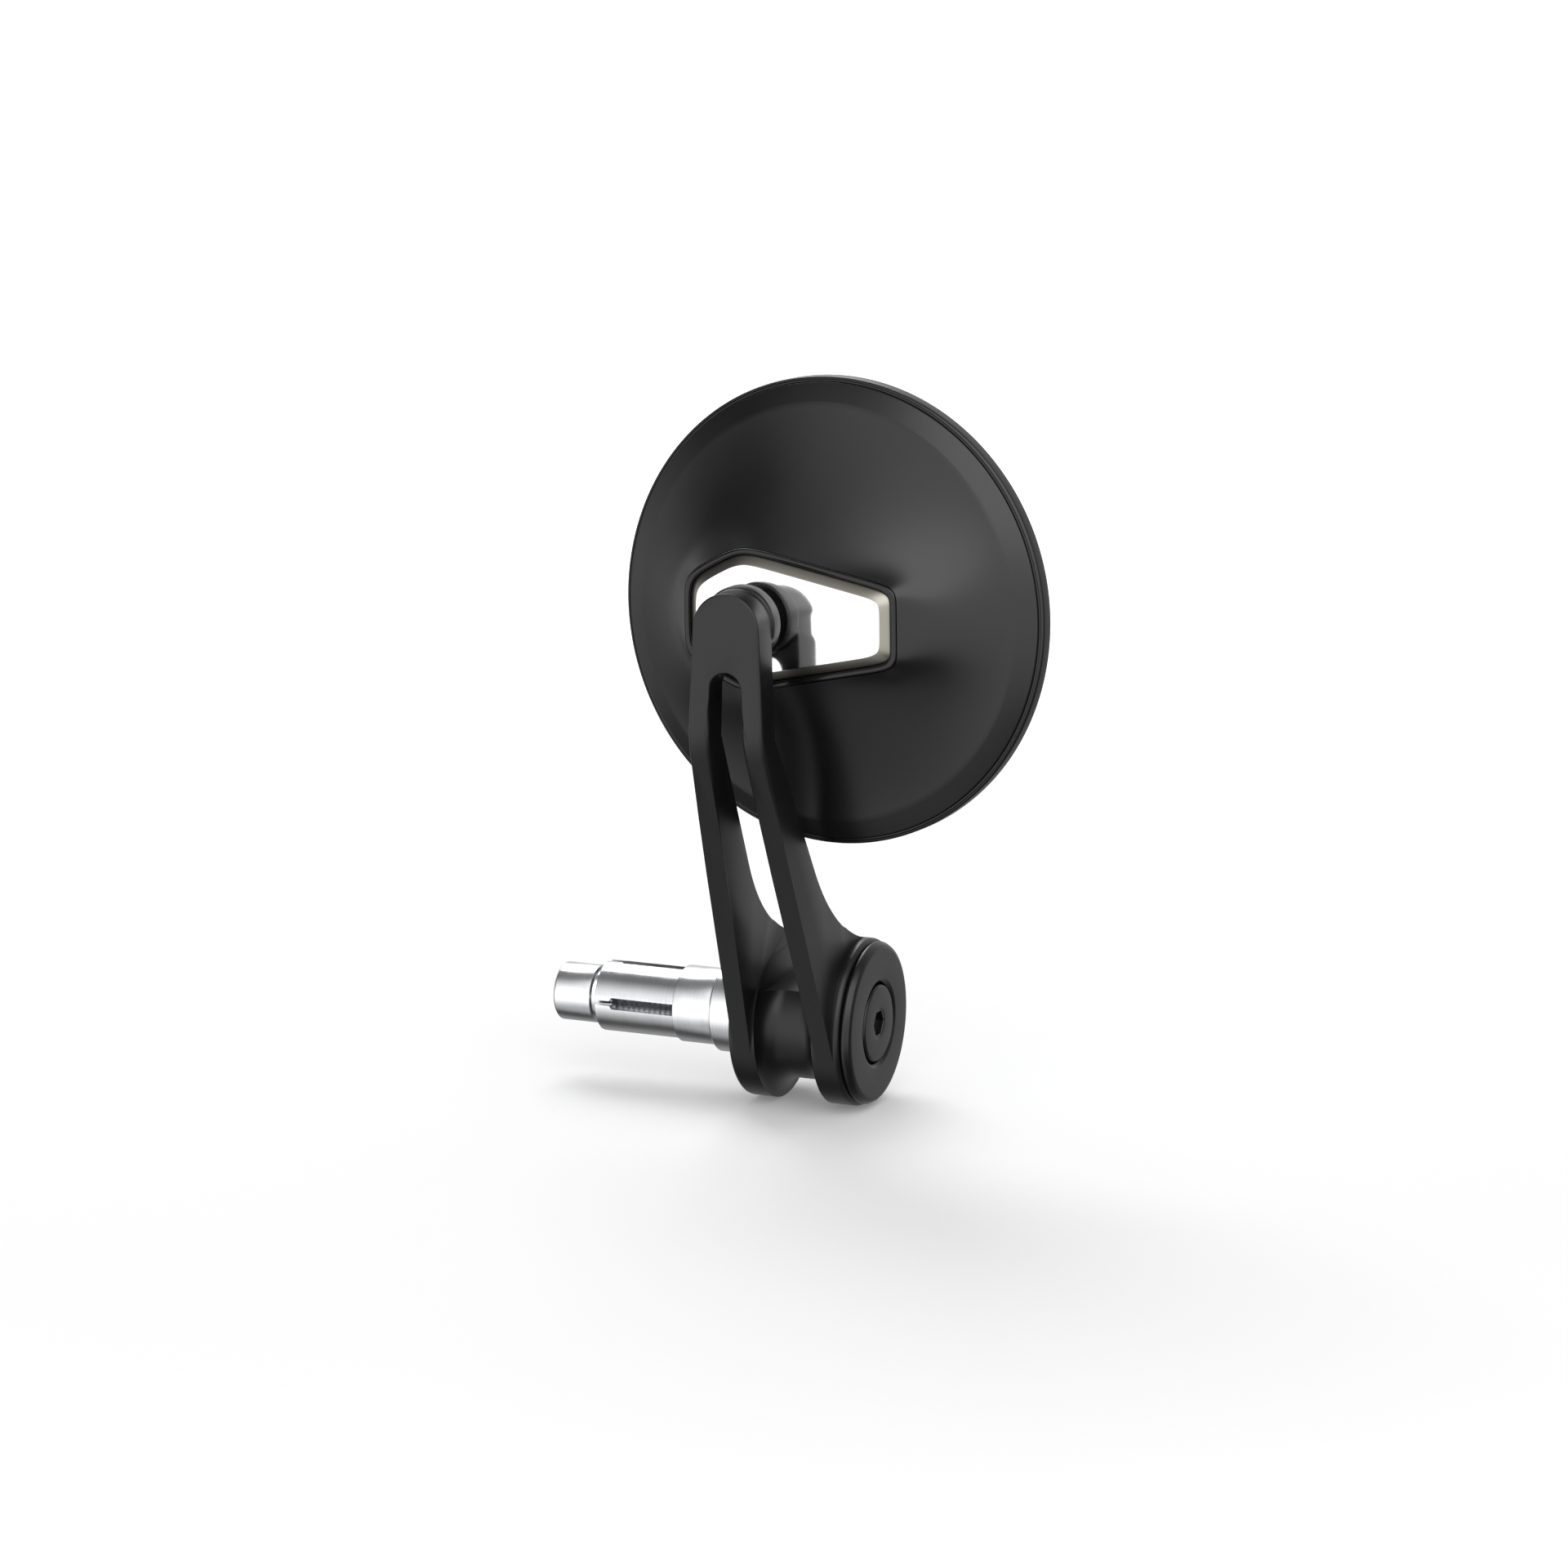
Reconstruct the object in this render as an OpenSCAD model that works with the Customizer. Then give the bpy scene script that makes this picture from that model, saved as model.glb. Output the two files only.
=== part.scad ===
// Round bar end mirror for a motorcycle: an expanding plug for the bar's bore, a forked arm on a
// spool hub, and a mirror head on a ball joint.
// X runs along the bar, outwards. Z is up and the arm stands upright. The glass faces +Y.
// The origin is on the bar's axis, where the bar's end face meets the collar.

/* [Bar plug] */
// Radius of the solid part of the plug, behind the bar's end
plug_r = 8.4; // [8.2:0.1:9]
// Length of that part
plug_len = 9; // [8:0.5:12]
// Radius of the slotted collet
collet_r = 7.8; // [7.6:0.1:8]
// Length of the slotted collet
collet_len = 18.8; // [16:0.2:22]
// Number of slots round the collet
slot_count = 4; // [3:1:4]
// Width of the window in each slot
window_w = 2.6; // [2:0.1:3]
// Width of the slit at the collet's open end
slit_w = 1.1; // [0.8:0.1:1.4]
// Radius of the expander nut
nut_r = 6.4; // [6.2:0.1:6.8]
// Length of the nut's straight part
nut_len = 8.9; // [8:0.1:11]
// Gap between the nut and the open end of the collet
nut_gap = 1.9; // [1.6:0.1:2.5]
// How far the screw draws the nut in
nut_travel = 1.25; // [0.8:0.05:1.4]
// Radius of the collar that stops at the bar's end
collar_r = 9.6; // [9.2:0.1:10.5]
// Length of the collar
collar_len = 8.2; // [7:0.2:10]

/* [Hub] */
// Width of the spool hub
hub_w = 25.6; // [25:0.2:27]
// Radius of the two flanges
flange_r = 18.2; // [17.5:0.1:19]
// Width of each flange
flange_w = 6.2; // [5.8:0.1:6.6]
// Radius of the waist between the flanges
barrel_r = 13.5; // [13:0.1:14]
// Height of the flat between the legs above the bar's axis
saddle_z = 8; // [7.5:0.5:9]
// Radius of the end cap's flat face
cap_face_r = 16.5; // [16:0.1:17]
// Thickness of the end cap
cap_t = 2.2; // [2:0.1:2.6]
// Radius of the screw's head
screw_head_r = 8.4; // [8:0.1:8.8]

/* [Arm] */
// Height of the eye's centre above the bar's axis
eye_z = 92; // [90:0.5:95]
// Distance from the bar's axis forward to the arm's outer face
arm_set = 50; // [48:0.5:52]
// Height at which the arm bends upright
bend_z = 68; // [66:0.5:70]
// Radius of the arm's round end
eye_r = 7.3; // [7.1:0.1:7.6]
// Thickness of the arm at its round end
eye_t = 7; // [6.5:0.1:7.5]
// Half the arm's width at the bar's axis
foot_half = 11.3; // [11:0.1:11.5]
// Half the arm's width at the bend
bend_half = 8.4; // [8.2:0.1:8.8]
// Half the gap between the legs at the bend
gap_half = 3.6; // [3.4:0.1:3.8]
// Height of the centre of the gap's round top
gap_top_z = 79.5; // [78:0.5:80.5]
// Radius of the gap's round top
gap_top_r = 3.4; // [3.2:0.1:3.5]
// Slope of the legs' back edge from upright, in degrees
back_slope = 31.5; // [31:0.5:32]
// Height at which the back edge starts to flare into the hub
flare_z = 37.5; // [36:0.5:39]

/* [Ball joint] */
// Radius of the boss on the arm's end
boss_r = 8; // [7.8:0.1:8.2]
// Depth of the boss behind the arm's outer face
boss_depth = 10.8; // [10.4:0.1:11]
// Depth of the ball's centre behind the arm's outer face
ball_depth = 6.6; // [6.4:0.1:6.8]
// Radius of the ball
ball_r = 4.2; // [4:0.1:4.3]
// Radius of the stud's neck
neck_r = 2; // [1.9:0.1:2.2]
// Distance from the ball's centre to the plate's face
stand_off = 6.7; // [6.6:0.1:7]

/* [Mirror head] */
// Radius of the head
head_r = 49; // [48:0.5:50]
// Depth from the head's widest ring to the plate's face
head_depth = 17.5; // [17:0.5:18.5]
// Distance sideways from the ball to the head's centre
head_shift = 8.7; // [8:0.1:9.5]
// Turn of the head about the upright axis, in degrees
head_turn = 6.1; // [5:0.1:7]
// Roll of the head, in degrees
head_roll = 1.4; // [0:0.1:2]
// Depth of the rim in front of the widest ring
rim_d = 3.4; // [3:0.1:4]
// Wall thickness of the shell
shell_t = 2; // [1.8:0.1:2.4]
// Thickness of the mirror glass
glass_t = 1.9; // [1.8:0.1:2.2]

/* [Hidden] */
$fn = 144;

black = "#1d1d1f";
silver = "#d9dadc";
run_fit = 0.05;
seat_gap = 0.1;
over = 1;

// Plug, from the bar's end face inwards
collet_end_x = -plug_len - collet_len;
nut_face_x = collet_end_x - nut_gap;
nut_end_x = nut_face_x - nut_len;
screw_r = 3;
screw_bore_r = screw_r + run_fit;
collet_bore_r = 5.2;
collet_mouth_r = 6.1;
cone_len = 4.6;
cone_tip_r = 4.4;
cone_root_r = 5.4;
window_start = 4;
spigot_r = 6.6;
spigot_len = 20;
plug_seal_x = 3;
plug_seal_w = 1.2;
plug_seal_sink = 0.6;
collar_recess = 0.6;

// Hub, from the collar outwards
washer_t = 0.8;
hub_x = collar_len;
mid_x = hub_x + hub_w / 2;
hub_end_x = hub_x + hub_w;
bush_t = 1.2;
bush_r = spigot_r + run_fit + bush_t;
bush_len = 18;
waist_fillet = flange_r - barrel_r;
rim_round = 1.2;
cap_x = hub_end_x + 0.1;
cap_end_x = cap_x + cap_t;
screw_washer_r = screw_head_r - 0.8;
washer_room = 0.3;
seal_wire = 1;
seal_sink = 0.7;
seal_clear = 1.1;
seal_r = screw_washer_r + washer_room + seal_clear + seal_wire;
head_sink = 2;
screw_head_x = cap_end_x - head_sink;
hex_af = 5;
hex_deep = 1.5;

// Arm, in the side view as [y, z]
bend = [-arm_set, bend_z];
bend_dist = norm(bend);
merge_r = flange_r - 0.15;
foot_angle = atan2(bend[1], bend[0]) + acos(merge_r / bend_dist);
foot = merge_r * [cos(foot_angle), sin(foot_angle)];
face_slope = atan2(foot[0] - bend[0], bend[1] - foot[1]);
top_z = eye_z + eye_r + over;
back_y = -arm_set + eye_t;
back_dir = [sin(back_slope), -cos(back_slope)];
back_normal = [cos(back_slope), sin(back_slope)];
neck_z = bend_z + 0.9;
flare_start = [back_y + (neck_z - flare_z) * tan(back_slope), flare_z];
flare_r = (flare_start * flare_start - merge_r * merge_r)
    / (2 * (merge_r - flare_start * back_normal));
flare_c = flare_start + flare_r * back_normal;
flare_end = flare_c * merge_r / norm(flare_c);
bend_round = 20;
bend_tangent = bend_round * tan(face_slope / 2);

// Arm, in the front view
saddle_half = hub_w / 2 - flange_w - 0.2;
gap_foot_half = 6.8;
gap_low_z = -20;
gap_low_half = gap_half + (gap_foot_half - gap_half) * (bend_z - gap_low_z) / (bend_z - saddle_z);
foot_z = -12;
foot_low_half = foot_half + (foot_half - bend_half) * (-foot_z) / bend_z;

// Ball joint, measured from the ball's centre towards the glass
ball_y = -arm_set + ball_depth;
boss_end = boss_depth - ball_depth;
socket_r = 6.4;
socket_front = -5;
cup_r = socket_r - run_fit;
cup_front = -4.45;
cup_end = 3.15;
cup_mouth_angle = 46;
spring_t = 0.5;
retainer_t = 1;
retainer_r = 7.1;
retainer_hole_r = 4.9;
base_t = 1;
base_r = 4;
shank_r = 2.5;
stud_len = 7;

// Head, measured from the ball's centre along the stud
plate_y = stand_off;
plate_t = 2.4;
plate_bevel = 2;
plate_bevel_d = 1.4;
seat_t = 2;
seat_w = 0.3;
frame_w = 1.4;
frame_lip = 0.9;
washer_r = 5;
plate_screw_r = 1.2;
plate_screw_grip = 1.4;
screw_x = [-18.5, 1, 16];
screw_z = [0, 6, -3];
hex_left = -24.3;
hex_peak = -12;
hex_right = 22.2;
hex_left_half = 7.9;
hex_peak_half = 14;
hex_right_half = 7.2;
corner_power = 26;
sides = 96;
ring_y = plate_y + head_depth;
rim_end_y = ring_y + rim_d;
shell_edge = frame_w + seat_gap;
shell_y = plate_y + 1.3;
shell_depth = shell_t * 1.25;
rim_band = 5.1;
flank_r = head_r - rim_band;
flank_y = ring_y - 2.7;
flank_steps = 7;
glass_r = head_r - 2.1;
bezel_w = 0.8;
glass_y = rim_end_y - glass_t;
pad_t = 0.4;
support_t = 1;
support_y = glass_y - pad_t - support_t;
dome_radius = 1260;
dome_steps = 6;

module along_x(x) {
    translate([x, 0, 0]) rotate([0, 90, 0]) children();
}

module along_y(y) {
    translate([0, y, 0]) rotate([-90, 0, 0]) children();
}

// Ring with a square section, its axis along Z
module ring(outer, inner, h) {
    difference() {
        cylinder(r = outer, h = h);
        translate([0, 0, -over]) cylinder(r = inner, h = h + 2 * over);
    }
}

// Slots of the collet: a window with a narrow slit to the open end
module collet_slots() {
    for (i = [0:slot_count - 1]) rotate([90 + i * 360 / slot_count, 0, 0]) {
        translate([collet_end_x + window_start, -window_w / 2, 0])
            cube([collet_len - window_start, window_w, collet_r + over]);
        translate([collet_end_x - over, -slit_w / 2, 0])
            cube([window_start + 2 * over, slit_w, collet_r + over]);
    }
}

module plug_body() {
    color(silver) difference() {
        union() {
            along_x(-plug_len) cylinder(r = plug_r, h = plug_len);
            along_x(collet_end_x) cylinder(r = collet_r, h = collet_len + over);
            along_x(-over) cylinder(r = spigot_r, h = over + collar_len + spigot_len);
        }
        along_x(collet_end_x - over) cylinder(r = screw_bore_r, h = 2 * over + collet_len + plug_len
            + collar_len + spigot_len);
        along_x(collet_end_x - over) cylinder(r = collet_bore_r, h = over + collet_len);
        along_x(collet_end_x) cylinder(r1 = collet_mouth_r, r2 = collet_bore_r, h = cone_len);
        along_x(plug_seal_x) ring(spigot_r + over, spigot_r - plug_seal_sink, plug_seal_w);
        collet_slots();
    }
}

// Collar, recessed behind the plug's end, so that it bears on the bar's end alone
module plug_collar() {
    color(silver) along_x(0) rotate_extrude() polygon([[plug_r, 0], [collar_r - 0.4, 0],
        [collar_r, 0.4], [collar_r, collar_len - washer_t - 0.4],
        [collar_r - 0.4, collar_len - washer_t], [spigot_r, collar_len - washer_t],
        [spigot_r, collar_recess], [plug_r, collar_recess]]);
}

// Rubber ring in a groove of the spigot, which holds the loose collar
module plug_seal() {
    color("#242424") along_x(plug_seal_x) ring(spigot_r, spigot_r - plug_seal_sink, plug_seal_w);
}

module cone_nut() {
    color(silver) difference() {
        union() {
            along_x(nut_end_x) rotate_extrude() polygon([[0, 0], [nut_r - 0.5, 0], [nut_r, 0.5],
                [nut_r, nut_len], [0, nut_len]]);
            along_x(nut_face_x) cylinder(r1 = cone_root_r, r2 = cone_tip_r, h = cone_len);
        }
        along_x(nut_end_x - over) cylinder(r = screw_bore_r, h = nut_len + cone_len + 2 * over);
    }
}

module clamp_screw() {
    color(black) difference() {
        union() {
            along_x(nut_end_x + over) cylinder(r = screw_r, h = screw_head_x - nut_end_x);
            along_x(screw_head_x) rotate_extrude() polygon([[0, 0], [screw_head_r, 0],
                [screw_head_r, head_sink - 0.4], [screw_head_r - 0.4, head_sink], [0, head_sink]]);
        }
        along_x(cap_end_x - hex_deep) cylinder(d = hex_af / cos(30), h = hex_deep + over, $fn = 6);
    }
}

module screw_washer() {
    color(silver) along_x(screw_head_x - washer_t) ring(screw_washer_r, screw_r + run_fit, washer_t);
}

// Side view of the arm and hub
module side_view() {
    difference() {
        polygon([[-arm_set, top_z], bend, foot, [0, 0], flare_end, flare_c, flare_start,
            [back_y, neck_z], [back_y, top_z]]);
        translate(flare_c) circle(r = flare_r, $fn = 240);
        difference() {
            polygon([bend + [0, bend_tangent], bend + [-over, 0],
                bend + bend_tangent * [sin(face_slope), -cos(face_slope)]]);
            translate(bend + [bend_round, bend_tangent]) circle(r = bend_round, $fn = 240);
        }
    }
}

// Front view of the arm, centred on x = 0
module front_view() {
    translate([0, eye_z]) circle(r = eye_r);
    polygon([[-foot_low_half, foot_z], [foot_low_half, foot_z], [bend_half, bend_z], [eye_r, eye_z],
        [-eye_r, eye_z], [-bend_half, bend_z]]);
}

// Gap between the legs in the front view, centred on x = 0
module gap_view() {
    translate([0, gap_top_z]) circle(r = gap_top_r);
    polygon([[-gap_low_half, gap_low_z], [gap_low_half, gap_low_z], [gap_half, bend_z],
        [gap_top_r, gap_top_z], [-gap_top_r, gap_top_z], [-gap_half, bend_z]]);
}

// Turns a front view into a solid that reaches through the arm
module through_y() {
    translate([mid_x, 2 * arm_set, 0]) rotate([90, 0, 0]) linear_extrude(4 * arm_set) children();
}

// Half of the spool's section, as [radius, distance from the inner face]
module spool_view() {
    difference() {
        square([flange_r, hub_w]);
        for (x = [flange_w + waist_fillet, hub_w - flange_w - waist_fillet])
            translate([flange_r, x]) circle(r = waist_fillet);
        translate([barrel_r, flange_w + waist_fillet])
            square([flange_r, hub_w - 2 * (flange_w + waist_fillet)]);
        for (x = [0, 1]) translate([flange_r - rim_round, x * (hub_w - rim_round)])
            difference() {
                square([2 * rim_round, rim_round]);
                translate([0, rim_round * (1 - x)]) circle(r = rim_round);
            }
    }
}

module legs() {
    difference() {
        intersection() {
            translate([hub_x, 0, 0]) rotate([90, 0, 90]) linear_extrude(hub_w) side_view();
            through_y() front_view();
        }
        through_y() gap_view();
    }
}

module spool() {
    difference() {
        along_x(hub_x) rotate_extrude() spool_view();
        translate([mid_x - saddle_half, -2 * arm_set, saddle_z])
            cube([2 * saddle_half, 4 * arm_set, flange_r]);
    }
}

module boss() {
    translate([mid_x, 0, eye_z]) along_y(back_y - over) rotate_extrude()
        polygon([[0, 0], [boss_r - over, 0], [boss_r, over], [boss_r, boss_depth - eye_t + over - 0.4],
            [boss_r - 0.4, boss_depth - eye_t + over], [0, boss_depth - eye_t + over]]);
}

module arm() {
    color(black) difference() {
        union() {
            legs();
            spool();
            boss();
        }
        along_x(hub_x - over) cylinder(r = bush_r, h = bush_len + over);
        along_x(hub_x) cylinder(r = spigot_r + run_fit, h = hub_w + over);
        along_x(screw_head_x - washer_t) cylinder(r = screw_washer_r + washer_room, h = hub_w);
        along_x(hub_end_x - seal_sink) ring(seal_r + seal_wire, seal_r - seal_wire, over + seal_sink);
        translate([mid_x, ball_y, eye_z]) {
            along_y(socket_front) cylinder(r = socket_r, h = arm_set);
            along_y(boss_end - retainer_t) cylinder(r = retainer_r, h = arm_set);
        }
    }
}

module hub_bush() {
    color("#8a8f96") along_x(hub_x) ring(bush_r, spigot_r + run_fit, bush_len);
}

module friction_washer() {
    color("#3a3a3c") along_x(collar_len - washer_t) ring(collar_r + 2, spigot_r + run_fit, washer_t);
}

module cap_seal() {
    color("#242424") along_x(hub_end_x - seal_sink) ring(seal_r + seal_wire, seal_r - seal_wire, seal_sink);
}

module end_cap() {
    color(black) along_x(cap_x) rotate_extrude() polygon([[screw_head_r + 0.35, 0],
        [flange_r - 1, 0], [flange_r - 0.6, 0.4], [flange_r - 0.6, 0.9], [cap_face_r, cap_t],
        [screw_head_r + 0.35, cap_t]]);
}

// Places a piece at the ball's centre, square to the arm
module at_ball() {
    translate([mid_x, ball_y, eye_z]) children();
}

// Places a piece on the stud's axis, turned with the head, +Y towards the glass
module on_stud() {
    at_ball() rotate([0, -head_roll, 0]) rotate([0, 0, -head_turn]) children();
}

// Places a piece on the head's centre line
module on_head() {
    on_stud() translate([head_shift, 0, 0]) children();
}

module ball_cup() {
    color("#c9c5b8") at_ball() along_y(0) rotate_extrude() difference() {
        translate([0, cup_front]) square([cup_r, cup_end - cup_front]);
        circle(r = ball_r + run_fit);
        polygon([[0, 0], [0, arm_set], [arm_set * tan(cup_mouth_angle), arm_set]]);
    }
}

module cup_spring() {
    color("#9a9da1") at_ball() along_y(socket_front) ring(cup_r - 0.4, 2.4, spring_t);
}

module ball_retainer() {
    color("#6f7276") at_ball() along_y(boss_end - retainer_t) ring(retainer_r, retainer_hole_r, retainer_t);
}

// Ball, a piece of its own, so that it turns about the upright and the neck about the level
module joint_ball() {
    color("#8d8f93") on_stud() sphere(r = ball_r);
}

// Neck, foot and thread that carry the head, hollowed to the ball's curve at the neck's end
module ball_stud() {
    color("#8d8f93") on_stud() along_y(0) {
        difference() {
            cylinder(r = neck_r, h = plate_y);
            sphere(r = ball_r + run_fit);
        }
        translate([0, 0, plate_y - base_t]) cylinder(r = base_r, h = base_t);
        translate([0, 0, plate_y - over]) cylinder(r = shank_r, h = over + stud_len);
    }
}

// Outline of the six-sided plate, grown by g, as [sideways, up] from the head's centre
hex_corners = [[hex_left, hex_left_half], [hex_left, -hex_left_half], [hex_peak, -hex_peak_half],
    [hex_right, -hex_right_half], [hex_right, hex_right_half], [hex_peak, hex_peak_half]];
ones = [for (c = hex_corners) 1];
function edge_normal(i) =
    let (d = hex_corners[(i + 1) % 6] - hex_corners[i]) [d[1], -d[0]] / norm(d);
// Distance from the centre to the outline along angle a, with softened corners
function hex_radius(a, g) = pow(ones * [for (i = [0:5])
    let (n = edge_normal(i), reach = (n * [cos(a), sin(a)]) / (n * hex_corners[i] + g))
    reach > 0 ? pow(reach, corner_power) : 0], -1 / corner_power);
function hex_point(a, g) = hex_radius(a, g) * [cos(a), sin(a)];
around = [for (i = [0:sides - 1]) i * 360 / sides];
function round_ring(r, y) = [for (a = around) [r * cos(a), y, r * sin(a)]];
// Rise of the shell from the plate's frame, at 0, to the foot of its flank, at 1
function flank(t) = 0.72 * t + 0.28 * (1 - pow(1 - t, 2));
function flank_ring(t, dy) = [for (a = around)
    let (p = (1 - t) * hex_point(a, shell_edge) + t * flank_r * [cos(a), sin(a)])
    [p[0], shell_y + (flank_y - shell_y) * flank(t) + dy, p[1]]];

// Closed tube through rings of points, the last ring joined to the first
module skin(rings) {
    n = len(rings);
    polyhedron([for (r = rings) each r], [for (k = [0:n - 1]) for (i = [0:sides - 1])
        let (a = k * sides + i, b = k * sides + (i + 1) % sides,
            c = ((k + 1) % n) * sides + (i + 1) % sides, d = ((k + 1) % n) * sides + i)
        each [[a, b, c], [a, c, d]]], convexity = 6);
}

// Plate of the head's outline grown by g, from depth y over thickness t
module hex_plate(g, y, t) {
    translate([0, y + t, 0]) rotate([90, 0, 0]) linear_extrude(t)
        polygon([for (a = around) hex_point(a, g)]);
}

module back_plate() {
    color(silver) on_head() difference() {
        hex_plate(0, plate_y, plate_t);
        for (i = [0:5]) let (n = edge_normal(i)) rotate([0, -atan2(n[1], n[0]), 0])
            translate([n * hex_corners[i], plate_y + plate_bevel_d, 0])
                rotate([0, 0, atan2(plate_bevel_d, plate_bevel)])
                    translate([-head_r, -2 * head_r, -head_r]) cube(2 * head_r);
        translate([-head_shift, 0, 0]) along_y(0) cylinder(r = shank_r + run_fit, h = ring_y);
        screw_spots() along_y(plate_y + plate_t - plate_screw_grip) cylinder(r = plate_screw_r, h = ring_y);
    }
}

module plate_frame() {
    color(black) on_head() difference() {
        hex_plate(frame_w, plate_y + frame_lip, plate_t + seat_t - frame_lip);
        hex_plate(seat_gap, plate_y - over, ring_y);
    }
}

module plate_seat() {
    color("#4a4c50") on_head() difference() {
        hex_plate(-seat_w - seat_gap, plate_y + plate_t, seat_t);
        translate([-head_shift, 0, 0]) along_y(0) cylinder(r = washer_r + 0.6, h = ring_y);
        screw_spots() along_y(0) cylinder(r = plate_screw_r, h = ring_y);
    }
}

// Three spots round the plate where screws come from inside the head
module screw_spots(only = -1) {
    for (i = [0:2]) if (only < 0 || only == i)
        translate([screw_x[i], 0, screw_z[i]]) children();
}

module plate_screw(i) {
    color("#9a9da1") on_head() screw_spots(i) {
        along_y(plate_y + plate_t - plate_screw_grip)
            cylinder(r = plate_screw_r, h = plate_screw_grip + seat_t + 0.5);
        along_y(plate_y + plate_t + seat_t) cylinder(r = 2 * plate_screw_r, h = 1.2);
    }
}

module plate_screw_a() { plate_screw(0); }
module plate_screw_b() { plate_screw(1); }
module plate_screw_c() { plate_screw(2); }

module stud_washer() {
    color("#9a9da1") on_stud() along_y(plate_y + plate_t + run_fit) ring(washer_r, shank_r, 1);
}

module stud_nut() {
    color("#9a9da1") on_stud() along_y(plate_y + plate_t + run_fit + 1) difference() {
        cylinder(r = 4.4, h = 3.2, $fn = 6);
        translate([0, 0, -over]) cylinder(r = shank_r, h = 3.2 + 2 * over);
    }
}

module head_shell() {
    color(black) on_head() skin(concat(
        [for (k = [0:flank_steps]) flank_ring(k / flank_steps, 0)],
        [round_ring(head_r - 0.4, ring_y - 0.2), round_ring(head_r, ring_y + 0.2),
            round_ring(head_r, rim_end_y - 0.5), round_ring(head_r - 0.5, rim_end_y),
            round_ring(glass_r + seat_gap, rim_end_y), round_ring(glass_r + seat_gap, support_y + 0.4)],
        [for (k = [flank_steps:-1:0]) flank_ring(k / flank_steps, shell_depth)]));
}

module support_disc() {
    color("#3a3c40") on_head() along_y(support_y) cylinder(r = flank_r - 1.4, h = support_t);
}

module glass_pad() {
    color("#17171a") on_head() along_y(support_y + support_t) cylinder(r = flank_r - 1.4, h = pad_t);
}

// Glass with a slightly domed face
module mirror_glass() {
    color("#cfd6da") on_head() along_y(glass_y) rotate_extrude() polygon(concat([[0, 0], [glass_r, 0]],
        [for (k = [dome_steps:-1:0]) let (r = glass_r * k / dome_steps)
            [r, glass_t - pow(r, 2) / (2 * dome_radius)]]));
}

module glass_bezel() {
    color("#121214") on_head() along_y(rim_end_y + 0.05) ring(head_r - 0.5, glass_r - bezel_w, 0.6);
}

plug_body();
plug_collar();
plug_seal();
cone_nut();
clamp_screw();
screw_washer();
arm();
hub_bush();
friction_washer();
cap_seal();
end_cap();
ball_cup();
cup_spring();
ball_retainer();
joint_ball();
ball_stud();
back_plate();
plate_frame();
plate_seat();
stud_washer();
stud_nut();
plate_screw_a();
plate_screw_b();
plate_screw_c();
head_shell();
support_disc();
glass_pad();
mirror_glass();
glass_bezel();
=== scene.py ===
# Bar end mirror: an expanding plug for the handlebar's bore, a forked black arm on a spool hub,
# and a round mirror head on a ball joint. X runs along the bar, outwards. Z is up. The glass faces +Y.
import math

import bmesh
import bpy
from mathutils import Matrix, Vector


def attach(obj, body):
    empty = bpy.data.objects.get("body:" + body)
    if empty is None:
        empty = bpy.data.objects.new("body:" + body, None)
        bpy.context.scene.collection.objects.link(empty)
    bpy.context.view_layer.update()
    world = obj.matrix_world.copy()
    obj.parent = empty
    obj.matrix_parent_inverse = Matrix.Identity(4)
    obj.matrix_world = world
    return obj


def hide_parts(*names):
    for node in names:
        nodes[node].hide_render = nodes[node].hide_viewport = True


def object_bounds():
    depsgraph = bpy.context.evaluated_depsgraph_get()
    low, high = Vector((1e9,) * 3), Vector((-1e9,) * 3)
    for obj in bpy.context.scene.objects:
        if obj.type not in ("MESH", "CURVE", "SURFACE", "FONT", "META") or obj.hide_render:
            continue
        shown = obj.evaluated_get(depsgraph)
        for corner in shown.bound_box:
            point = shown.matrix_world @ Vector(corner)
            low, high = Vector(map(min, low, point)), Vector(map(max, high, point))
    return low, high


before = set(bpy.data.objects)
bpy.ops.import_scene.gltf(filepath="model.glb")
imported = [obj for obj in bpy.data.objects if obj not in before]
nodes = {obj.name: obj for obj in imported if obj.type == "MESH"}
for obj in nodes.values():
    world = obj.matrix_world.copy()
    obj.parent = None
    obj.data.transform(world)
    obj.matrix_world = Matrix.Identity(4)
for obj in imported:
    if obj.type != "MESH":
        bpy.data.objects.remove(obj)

cad_low, cad_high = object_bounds()


# Bar plug
# A turned aluminium body: a slotted collet that grips the bar's bore, a thicker shoulder, and a loose
# collar held by a rubber ring. It is left bright, with the fine lines of the lathe round it.

MM = 0.001
CREASE = math.radians(32)
ALONG_X = Matrix.Rotation(math.radians(90), 4, "Y")


def tree_socket(group, name, kind, inward, value=None):
    """Adds one named socket to a node group."""
    way = "INPUT" if inward else "OUTPUT"
    socket = group.interface.new_socket(name=name, in_out=way, socket_type=kind)
    if value is not None:
        socket.default_value = value
    return socket


def shader_math(tree, operation, first, second=None):
    """A Math node on one or two inputs, each a socket or a number. Gives its output."""
    node = tree.nodes.new("ShaderNodeMath")
    node.operation = operation
    for i, value in enumerate((first, second)):
        if isinstance(value, bpy.types.NodeSocket):
            tree.links.new(value, node.inputs[i])
        elif value is not None:
            node.inputs[i].default_value = value
    return node.outputs[0]


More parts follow.
